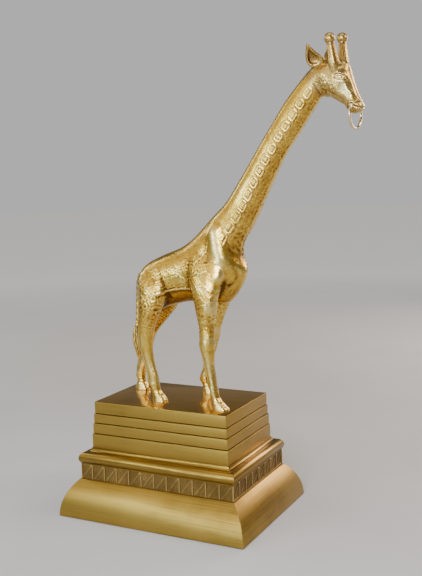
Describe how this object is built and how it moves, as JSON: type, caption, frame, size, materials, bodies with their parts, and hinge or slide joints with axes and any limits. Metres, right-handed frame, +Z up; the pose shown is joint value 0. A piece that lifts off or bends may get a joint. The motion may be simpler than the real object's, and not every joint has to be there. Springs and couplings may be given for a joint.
{
  "type": "giraffe statue",
  "caption": "Cast brass giraffe standing on a tall moulded plinth of stacked tiers, its head turned slightly aside, with a wire ring hanging from its mouth.",
  "frame": {"origin": "middle of the underside of the plinth, on the face it rests on", "axes": "+X the way the giraffe's body faces, +Y the giraffe's left, +Z up"},
  "size_m": [0.5231, 0.27, 0.8098],
  "materials": {
    "giraffe_brass": "polished cast brass with dark patina in the recesses",
    "plinth_brass": "brushed antique brass",
    "frieze_brass": "darkened antique brass with worn relief",
    "steel": "zinc-plated steel",
    "board": "raw plywood",
    "felt": "dark green felt"
  },
  "bodies": {
    "statue": {"felt_sheet": "felt", "base_board": "board", "tie_rods": "steel", "tie_nuts": "steel", "tie_washers": "steel", "foot_front": "plinth_brass", "foot_back": "plinth_brass", "foot_left": "plinth_brass", "foot_right": "plinth_brass", "frieze_front": "frieze_brass", "frieze_back": "frieze_brass", "frieze_left": "frieze_brass", "frieze_right": "frieze_brass", "bead_front": "plinth_brass", "bead_back": "plinth_brass", "bead_left": "plinth_brass", "bead_right": "plinth_brass", "tier_4": "plinth_brass", "tier_3": "plinth_brass", "tier_2": "plinth_brass", "top_slab": "plinth_brass", "hoof_studs": "steel", "hoof_nuts": "steel", "hoof_washers": "steel", "torso": "giraffe_brass", "neck": "giraffe_brass", "neck_sleeve": "giraffe_brass", "head": "giraffe_brass", "head_sleeve": "giraffe_brass", "tail": "giraffe_brass", "leg_front_right": "giraffe_brass", "leg_front_left": "giraffe_brass", "leg_rear_right": "giraffe_brass", "leg_rear_left": "giraffe_brass", "ear_right": "giraffe_brass", "ear_left": "giraffe_brass", "ossicone_right": "giraffe_brass", "ossicone_left": "giraffe_brass"},
    "ring": {"mouth_ring": "giraffe_brass"}
  },
  "joints": [
    {"name": "ring_swing", "type": "hinge", "parent": "statue", "child": "ring", "pos_m": [0.3294, -0.01259, 0.6965], "axis": [-0.1305, -0.9914, 0], "range_deg": [-80, 150]}
  ]
}
